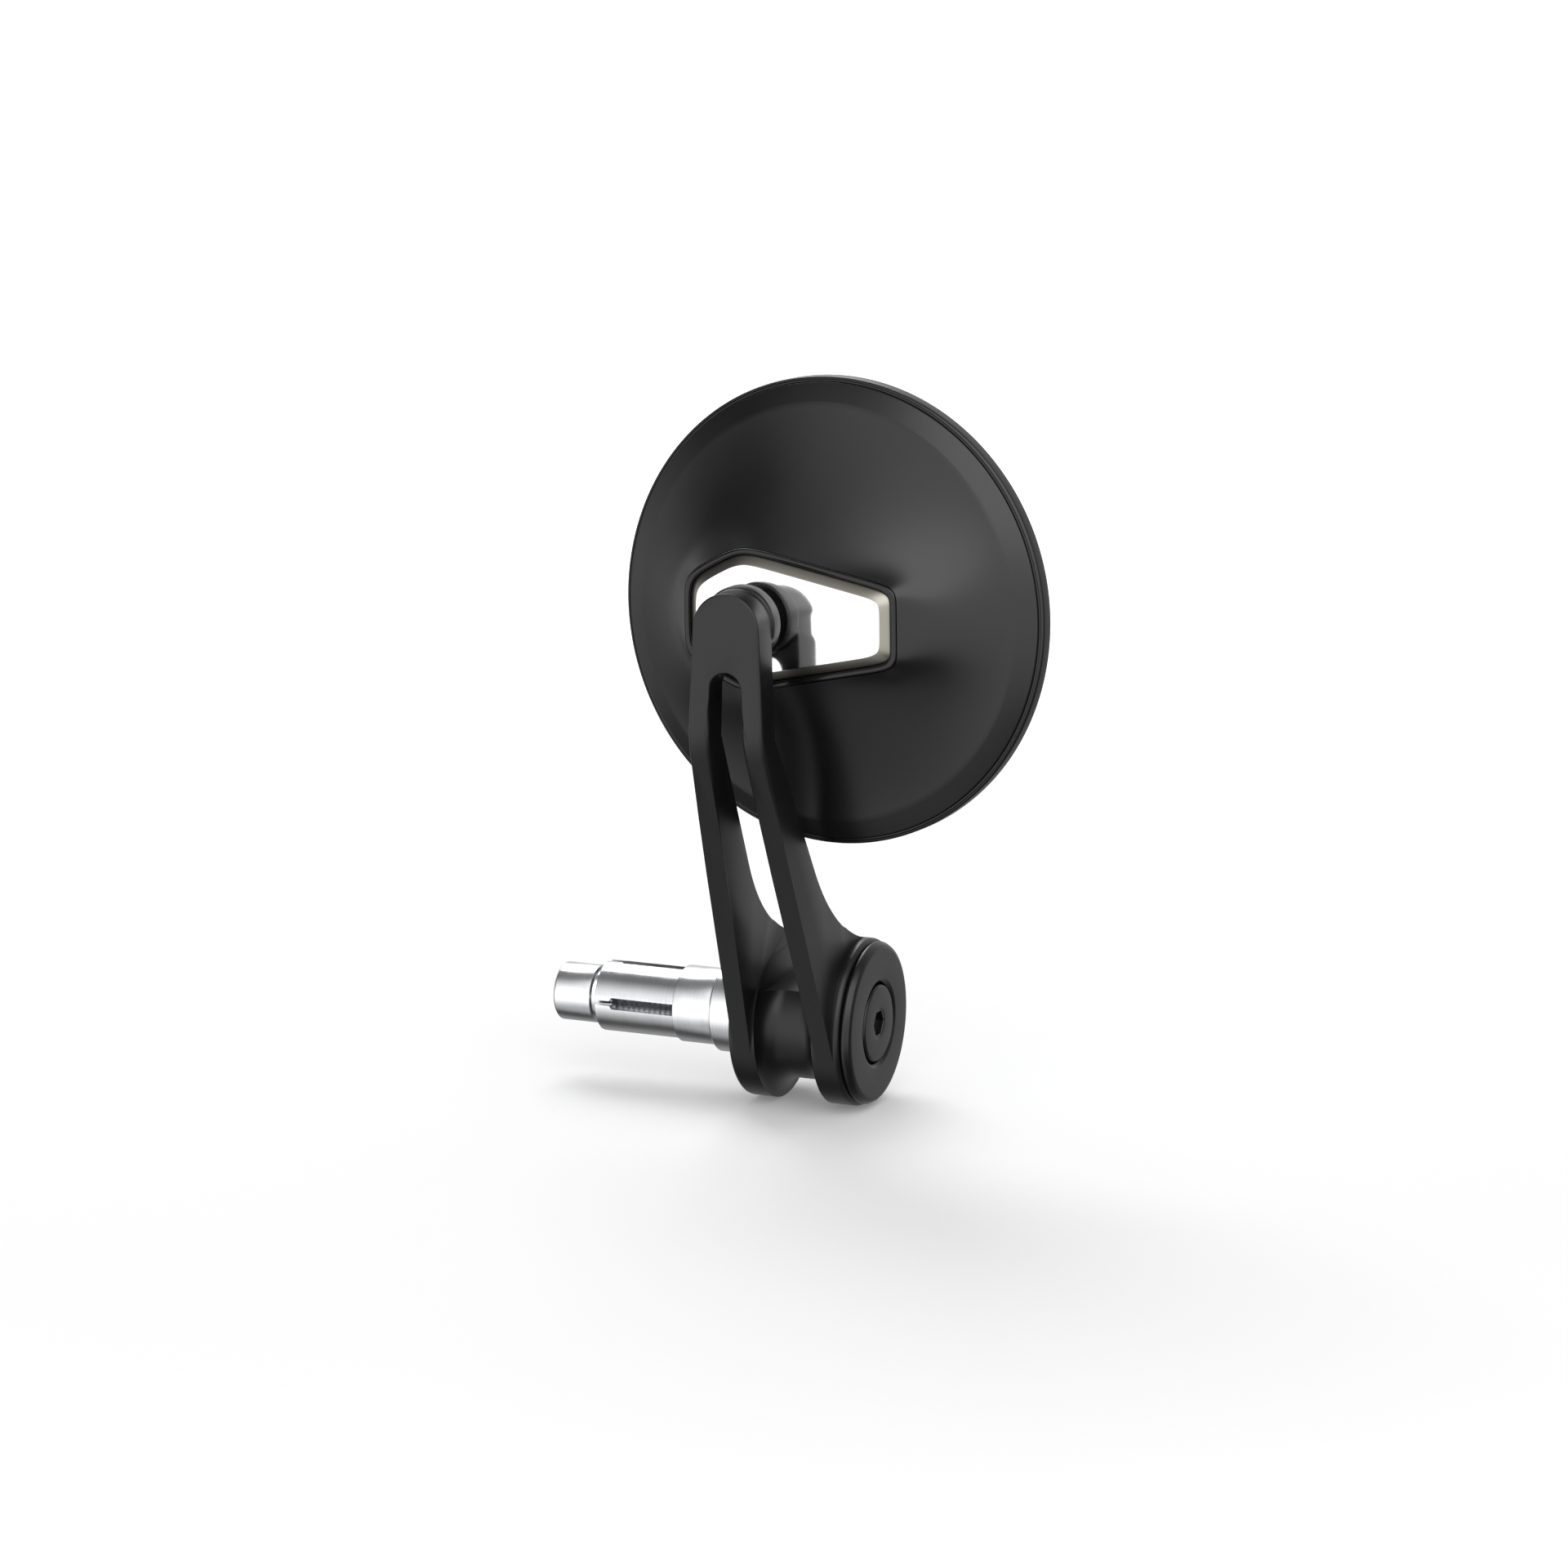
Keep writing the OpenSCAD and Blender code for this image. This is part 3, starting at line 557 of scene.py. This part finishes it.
def hex_reach(angle, grow, power=CORNER_POWER):
    """Distance from the plate's centre to its outline, grown and with corners softened by the power."""
    total = 0.0
    for i, corner in enumerate(HEX_CORNERS):
        after = HEX_CORNERS[(i + 1) % 6]
        dx, dy = after[0] - corner[0], after[1] - corner[1]
        length = math.hypot(dx, dy)
        normal = (dy / length, -dx / length)
        reach = ((normal[0] * math.cos(angle) + normal[1] * math.sin(angle))
                 / (normal[0] * corner[0] + normal[1] * corner[1] + grow))
        if reach > 0:
            total += reach ** power
    return total ** (-1 / power)


def hex_ring(grow, y):
    """One ring of points round the plate's outline, grown."""
    ring = []
    for i in range(SHELL_SIDES):
        a = 2 * math.pi * i / SHELL_SIDES
        reach = hex_reach(a, grow)
        ring.append((reach * math.cos(a), y, reach * math.sin(a)))
    return ring


def round_ring(radius, y, centre=0.0):
    return [(centre + radius * math.cos(2 * math.pi * i / SHELL_SIDES), y,
             radius * math.sin(2 * math.pi * i / SHELL_SIDES)) for i in range(SHELL_SIDES)]


def skinned(rings):
    """A closed solid through rings of points in the head's frame, the last joined to the first."""
    bm = bmesh.new()
    rows = [[bm.verts.new(ON_HEAD @ (Vector(p) * MM)) for p in ring] for ring in rings]
    for k, row in enumerate(rows):
        following = rows[(k + 1) % len(rows)]
        for i in range(SHELL_SIDES):
            j = (i + 1) % SHELL_SIDES
            bm.faces.new((row[i], row[j], following[j], following[i]))
    bmesh.ops.recalc_face_normals(bm, faces=bm.faces)
    mesh = bpy.data.meshes.new("skinned")
    bm.to_mesh(mesh)
    bm.free()
    return smooth(mesh, math.radians(24))


# The bevel is brushed, not polished, so behind the plate's face its roughness rises to a satin. Its
# colour also turns to a darker warm grey, a painted shade with a painted warm reflection, keeping the
# bevel dim.
BEVEL_PAINTED_SHADE, BEVEL_ROUGH, BEVEL_START, BEVEL_FULL = (0.30, 0.285, 0.25), 0.32, 0.03, 0.12
tree = polished.node_tree
surface = tree.nodes["Principled BSDF"]
depth_way = tree.nodes.new("ShaderNodeMapping")
depth_way.vector_type = "TEXTURE"
depth_way.inputs["Location"].default_value = ON_HEAD @ (Vector((0, PLATE_Y, 0)) * MM)
depth_way.inputs["Rotation"].default_value = HEAD_ANGLES
tree.links.new(tree.nodes.new("ShaderNodeTexCoord").outputs["Object"], depth_way.inputs["Vector"])
depth_parts = tree.nodes.new("ShaderNodeSeparateXYZ")
tree.links.new(depth_way.outputs[0], depth_parts.inputs[0])
on_bevel = tree.nodes.new("ShaderNodeMapRange")
on_bevel.inputs["From Min"].default_value = BEVEL_START * MM
on_bevel.inputs["From Max"].default_value = BEVEL_FULL * MM
tree.links.new(depth_parts.outputs[0], on_bevel.inputs["Value"])
# On the bevel the colour blends to the painted shade grey, and the roughness to the brushed value.
for target, value in (("Base Color", (*BEVEL_PAINTED_SHADE, 1)), ("Roughness", (BEVEL_ROUGH,) * 3 + (1,))):
    blend = tree.nodes.new("ShaderNodeMix")
    blend.data_type = "RGBA"
    tree.links.new(on_bevel.outputs[0], blend.inputs["Factor"])
    tree.links.new(surface.inputs[target].links[0].from_socket, blend.inputs["A"])
    blend.inputs["B"].default_value = value
    tree.links.new(blend.outputs["Result"], surface.inputs[target])

plate_rings = [round_ring(STUD_R + 0.05, PLATE_Y, -HEAD_SHIFT), hex_ring(-BEVEL_W - 0.1, PLATE_Y)]
plate_rings += [hex_ring(grow, y) for grow, y in
                ((-BEVEL_W - 0.04, PLATE_Y + 0.01), (-BEVEL_W + 0.04, PLATE_Y + 0.045),
                 (-0.06, PLATE_Y + BEVEL_D - 0.04), (0, PLATE_Y + BEVEL_D + 0.05),
                 (0, PLATE_Y + PLATE_T))]
plate_rings.append(round_ring(STUD_R + 0.05, PLATE_Y + PLATE_T, -HEAD_SHIFT))
add_piece("back_plate_polished", skinned(plate_rings), polished, "head", "polished", "back_plate")
frame_edge = round_corners([(0.1, FRAME_BACK), (0.1, FRAME_FRONT), (FRAME_W, FRAME_FRONT),
                            (FRAME_W, FRAME_BACK)], 0.6, 5)
add_piece("plate_frame_gloss", skinned([hex_ring(grow, y) for grow, y in frame_edge]), frame_black,
          "head", "black_plastic", "plate_frame")
dress("plate_seat", inner_plastic)
dress("stud_washer", steel)
dress("stud_nut", steel)
for screw in ("plate_screw_a", "plate_screw_b", "plate_screw_c"):
    dress(screw, steel)


# Head shell
# A moulded black shell that flows from the six-sided frame out to a round rim. A shallow bevelled
# band and a thin bead run round its edge, and its surface is even and slightly rough.

SHELL_EDGE, SHELL_Y, SHELL_STEPS = 1.5, 8.0, 30
RING_Y, RIM_END, HEAD_R, FLANK_R, FLANK_Y = 24.2, 27.6, 49.0, 43.9, 21.5
SHELL_DEPTH, MOUTH_R, SUPPORT_Y, ROUND_POWER, FLANK_CURVE = 2.5, 47.0, 24.3, 4.0, 0.36


def flank_ring(t, inside):
    """One ring of the shell between the plate's frame, at 0, and the foot of its flank, at 1, where the
    plate's corners have faded."""
    rise = (1 - FLANK_CURVE) * t + FLANK_CURVE * (1 - (1 - t) ** 2)
    power = ROUND_POWER + (CORNER_POWER - ROUND_POWER) * (1 - t) ** 5
    ring = []
    for i in range(SHELL_SIDES):
        a = 2 * math.pi * i / SHELL_SIDES
        reach = (1 - t) * hex_reach(a, SHELL_EDGE, power) + t * FLANK_R
        ring.append((reach * math.cos(a), SHELL_Y + (FLANK_Y - SHELL_Y) * rise + inside,
                     reach * math.sin(a)))
    return ring


rim_profile = [(FLANK_R + 0.1, FLANK_Y + 0.055)]
rim_profile += round_corners([
    (FLANK_R, FLANK_Y), (HEAD_R - 1.25, RING_Y - 0.7), (HEAD_R - 1.1, RING_Y - 0.15),
    (HEAD_R - 0.75, RING_Y - 0.1), (HEAD_R - 0.6, RING_Y - 0.45), (HEAD_R - 0.25, RING_Y - 0.3),
    (HEAD_R, RING_Y + 0.1), (HEAD_R, RIM_END - 0.5), (HEAD_R - 0.5, RIM_END), (MOUTH_R, RIM_END),
    (MOUTH_R, SUPPORT_Y + 0.4)], 0.18, 3)[4:]
shell_rings = [flank_ring(k / SHELL_STEPS, 0) for k in range(SHELL_STEPS + 1)]
shell_rings += [round_ring(radius, y) for radius, y in rim_profile]
shell_rings += [flank_ring(k / SHELL_STEPS, SHELL_DEPTH) for k in range(SHELL_STEPS, -1, -5)]
shell_black = make_finish("shell_black", (0.0045, 0.0045, 0.0047), (0.0075, 0.0075, 0.0078),
                          (0.27, 0.34), 0.003 * MM, scale=4200.0, specular=0.5, patch=40.0)
add_piece("head_shell_moulded", skinned(shell_rings), shell_black, "head", "black_plastic", "head_shell")


# Mirror glass
# A slightly domed glass, silvered behind, lies on foam over a plastic disc. A thin black ring on the
# rim keeps it in the shell.

foam = make_finish("foam", (0.012, 0.012, 0.013), (0.022, 0.022, 0.024), (0.8, 0.92), 0.05 * MM,
                   scale=2600.0, specular=0.2)
silvering = make_finish("silvered_glass", (0.80, 0.83, 0.85), (0.84, 0.87, 0.885), (0.005, 0.02),
                        0.0001 * MM, scale=300.0, metallic=1.0, patch=30.0)
BEZEL_Y, BEZEL_OUT_R, BEZEL_IN_R, BEZEL_T = 27.65, 48.5, 46.1, 0.6
bezel_profile = round_corners([(BEZEL_IN_R, BEZEL_Y), (BEZEL_OUT_R, BEZEL_Y),
                               (BEZEL_OUT_R, BEZEL_Y + BEZEL_T), (BEZEL_IN_R, BEZEL_Y + BEZEL_T)], 0.2)
dress("support_disc", inner_plastic)
dress("glass_pad", foam)
GLASS_R, GLASS_Y, GLASS_T, DOME_RADIUS, DOME_STEPS = 46.9, 25.7, 1.9, 1260, 12
dome = []
for k in range(DOME_STEPS, -1, -1):
    from_middle = GLASS_R * k / DOME_STEPS
    dome.append((from_middle, GLASS_Y + GLASS_T - from_middle ** 2 / (2 * DOME_RADIUS)))
add_piece("mirror_glass_domed", lathe([(0, GLASS_Y), (GLASS_R, GLASS_Y), *dome], ON_HEAD @ ALONG_Y, 192),
          silvering, "head", "mirror", "mirror_glass")
add_piece("glass_bezel_ring", lathe(bezel_profile, ON_HEAD @ ALONG_Y, 240), frame_black, "head",
          "black_plastic", "glass_bezel")


# Floor, light and camera
# A pale floor and a white surround, with broad soft lamps from the front right, from above and
# behind and from the left, seen through a long lens from the side that faces forwards on the
# motorcycle.

FLOOR_REACH, FLOOR_GAP = 12.0, 0.0003
floor_z = cad_low.z - FLOOR_GAP
floor_mesh = bpy.data.meshes.new("floor")
floor_mesh.from_pydata([(x * FLOOR_REACH, y * FLOOR_REACH, floor_z)
                        for x, y in ((-1, -1), (1, -1), (1, 1), (-1, 1))], [], [(0, 1, 2, 3)])
floor = bpy.data.objects.new("floor", floor_mesh)
floor.visible_glossy = False
bpy.context.scene.collection.objects.link(floor)


def ramp(tree, value, start, stop, low=0.0, high=1.0):
    """A smooth step of a value from low at start to high at stop."""
    node = tree.nodes.new("ShaderNodeMapRange")
    node.interpolation_type = "SMOOTHSTEP"
    for name, number in (("From Min", start), ("From Max", stop), ("To Min", low), ("To Max", high)):
        node.inputs[name].default_value = number
    tree.links.new(value, node.inputs["Value"])
    return node.outputs[0]


# The floor is lit like any matt surface, so it keeps the shadow, and it whitens out with distance.
GLOW_NEAR, GLOW_FAR, GLOW_START, GLOW_STOP = 0.16, 1.0, 0.16, 1.1
floor_paint = bpy.data.materials.new("floor_paint")
floor_paint.use_nodes = True
tree = floor_paint.node_tree
matte = tree.nodes["Principled BSDF"]
matte.inputs["Base Color"].default_value = (0.8, 0.8, 0.8, 1)
matte.inputs["Roughness"].default_value = 0.9
matte.inputs["Specular IOR Level"].default_value = 0.0
matte.inputs["Emission Color"].default_value = (1, 1, 1, 1)
spot = tree.nodes.new("ShaderNodeTexCoord")
span = tree.nodes.new("ShaderNodeVectorMath")
span.operation = "LENGTH"
tree.links.new(spot.outputs["Object"], span.inputs[0])
glow = ramp(tree, span.outputs["Value"], GLOW_START, GLOW_STOP, GLOW_NEAR, GLOW_FAR)
path = tree.nodes.new("ShaderNodeLightPath")
seen = shader_math(tree, "MAXIMUM", path.outputs["Is Camera Ray"], path.outputs["Is Transmission Ray"])
tree.links.new(shader_math(tree, "MULTIPLY", seen, glow), matte.inputs["Emission Strength"])
floor_mesh.materials.append(floor_paint)


def product(tree, first, *others):
    """Several sockets or numbers multiplied."""
    for other in others:
        first = shader_math(tree, "MULTIPLY", first, other)
    return first


def brightest(tree, first, *others):
    """The largest of several sockets."""
    for other in others:
        first = shader_math(tree, "MAXIMUM", first, other)
    return first


# The surround is white to the camera. What reflections see of it is a lit cove in front, to the left
# and behind, a broad soft box at the front right, and little overhead, underneath or to the right.
AMBIENT, GLOOM, OVERHEAD, BEHIND, LEFT = 0.5, 0.075, 0.12, 0.6, 0.45
COVE, COVE_LOW, COVE_DIM, BEHIND_DIM, BEHIND_LOW = 1.5, 0.46, 0.08, 0.4, 0.45
BOX, BOX_WAY, BOX_EDGE = 1.3, (0.5, -0.7, 0.4), (0.45, 0.75)
# Each panel fades over a span, from a start to a stop, of its place to the right, back or up.
LEFT_CORNER, CORNER_TOP = (-0.75, -0.5), (0.0, 0.25)
COVE_TOP, COVE_FOOT, COVE_FACE, COVE_SIDE = (0.25, 0.92), (-0.78, -0.3), (-0.02, -0.5), (0.1, 0.5)
LEFT_SIDE, LEFT_TOP, LEFT_FOOT = (-0.74, -0.95), (-0.05, 0.3), (-0.6, -0.3)
BEHIND_FACE, BEHIND_SIDE, BEHIND_FOOT, ABOVE_FOOT = (0.0, 0.65), (0.2, 0.95), (-0.45, 0.0), (0.4, 0.8)
world = bpy.data.worlds.new("studio")
bpy.context.scene.world = world
world.use_nodes = True
tree = world.node_tree
tree.nodes.clear()
output = tree.nodes.new("ShaderNodeOutputWorld")
sky = tree.nodes.new("ShaderNodeBackground")
sky.inputs["Color"].default_value = (1, 1, 1, 1)
heading = tree.nodes.new("ShaderNodeTexCoord").outputs["Generated"]
way = tree.nodes.new("ShaderNodeSeparateXYZ")
tree.links.new(heading, way.inputs[0])
right, back, up = way.outputs
dark_corner = brightest(tree, ramp(tree, right, *LEFT_CORNER), ramp(tree, up, *CORNER_TOP, 1.0, 0.0))
band = product(tree, ramp(tree, up, *COVE_TOP, 1.0, 0.0),
               ramp(tree, up, *COVE_FOOT, COVE_LOW / COVE, 1.0))
front = product(tree, ramp(tree, back, *COVE_FACE), ramp(tree, right, *COVE_SIDE, 1.0, COVE_DIM),
                dark_corner, band, COVE)
left = product(tree, ramp(tree, right, *LEFT_SIDE), ramp(tree, up, *LEFT_TOP, LEFT, 0.0),
               ramp(tree, up, *LEFT_FOOT))
behind = product(tree, ramp(tree, back, *BEHIND_FACE, 0.0, BEHIND),
                 ramp(tree, right, *BEHIND_SIDE, 1.0, BEHIND_DIM),
                 ramp(tree, up, *BEHIND_FOOT, BEHIND_LOW, 1.0))
above = product(tree, ramp(tree, up, *ABOVE_FOOT, 0.0, OVERHEAD), ramp(tree, right, *LEFT_CORNER))
aim = tree.nodes.new("ShaderNodeVectorMath")
aim.operation = "DOT_PRODUCT"
tree.links.new(heading, aim.inputs[0])
aim.inputs[1].default_value = Vector(BOX_WAY).normalized()
box = ramp(tree, aim.outputs["Value"], *BOX_EDGE, 0.0, BOX)
reflected = shader_math(tree, "ADD", brightest(tree, front, left, behind, above, box), GLOOM)
path = tree.nodes.new("ShaderNodeLightPath")
glossy = path.outputs["Is Glossy Ray"]
seen = brightest(tree, path.outputs["Is Camera Ray"], path.outputs["Is Transmission Ray"])
other = product(tree, shader_math(tree, "SUBTRACT", 1.0, brightest(tree, seen, glossy)), AMBIENT)
level = shader_math(tree, "ADD", shader_math(tree, "ADD", seen, other), product(tree, glossy, reflected))
tree.links.new(level, sky.inputs["Strength"])
tree.links.new(sky.outputs[0], output.inputs["Surface"])

middle = Vector((21, -18, 62)) * MM


def add_lamp(name, towards, distance, width, height, power):
    """A soft rectangular lamp that faces the object from a direction."""
    light = bpy.data.lights.new(name, "AREA")
    light.shape, light.size, light.size_y, light.energy = "RECTANGLE", width, height, power
    lamp = bpy.data.objects.new(name, light)
    lamp.location = middle + Vector(towards).normalized() * distance
    lamp.rotation_mode = "QUATERNION"
    lamp.rotation_quaternion = Vector(towards).to_track_quat("Z", "Y")
    bpy.context.scene.collection.objects.link(lamp)


add_lamp("key_lamp", (0.46, -0.62, 0.62), 1.0, 1.15, 0.95, 4.5)
add_lamp("back_lamp", (-0.55, 0.7, 1.0), 1.0, 0.7, 0.7, 6.0)
add_lamp("left_lamp", (-1.0, -0.1, 0.12), 1.0, 0.5, 0.5, 0.2)

# The camera's turn round the upright axis, its height and its roll, its distance and its offset from
# the middle of the hub's inner face, and the width and focal length of its picture in pixels.
turn, lift, roll = math.radians(22.44), math.radians(11.07), math.radians(0.41)
distance, offset_x, offset_y, inner_face = 1000.0, 5.29, 49.26, 8.2
PICTURE_WIDTH, FOCAL_LENGTH, SENSOR_WIDTH = 1920, 5630, 36
side = Vector((math.cos(turn), math.sin(turn), 0))
above = Vector((-math.sin(turn) * math.sin(lift), math.cos(turn) * math.sin(lift), math.cos(lift)))
towards_lens = side.cross(above)
tilted_side = side * math.cos(roll) + above * math.sin(roll)
tilted_above = above * math.cos(roll) - side * math.sin(roll)
lens = bpy.data.cameras.new("camera")
lens.lens, lens.sensor_width = SENSOR_WIDTH * FOCAL_LENGTH / PICTURE_WIDTH, SENSOR_WIDTH
lens.sensor_fit = "HORIZONTAL"
lens.clip_start, lens.clip_end = 0.05, 60
camera = bpy.data.objects.new("camera", lens)
bpy.context.scene.collection.objects.link(camera)
place = (tilted_side * offset_x + tilted_above * offset_y + towards_lens * distance
         + Vector((inner_face, 0, 0))) * MM
facing = Matrix((tilted_side, tilted_above, towards_lens)).transposed()
camera.matrix_world = Matrix.Translation(place) @ facing.to_4x4()
bpy.context.scene.camera = camera
bpy.context.scene.view_settings.view_transform = "Standard"
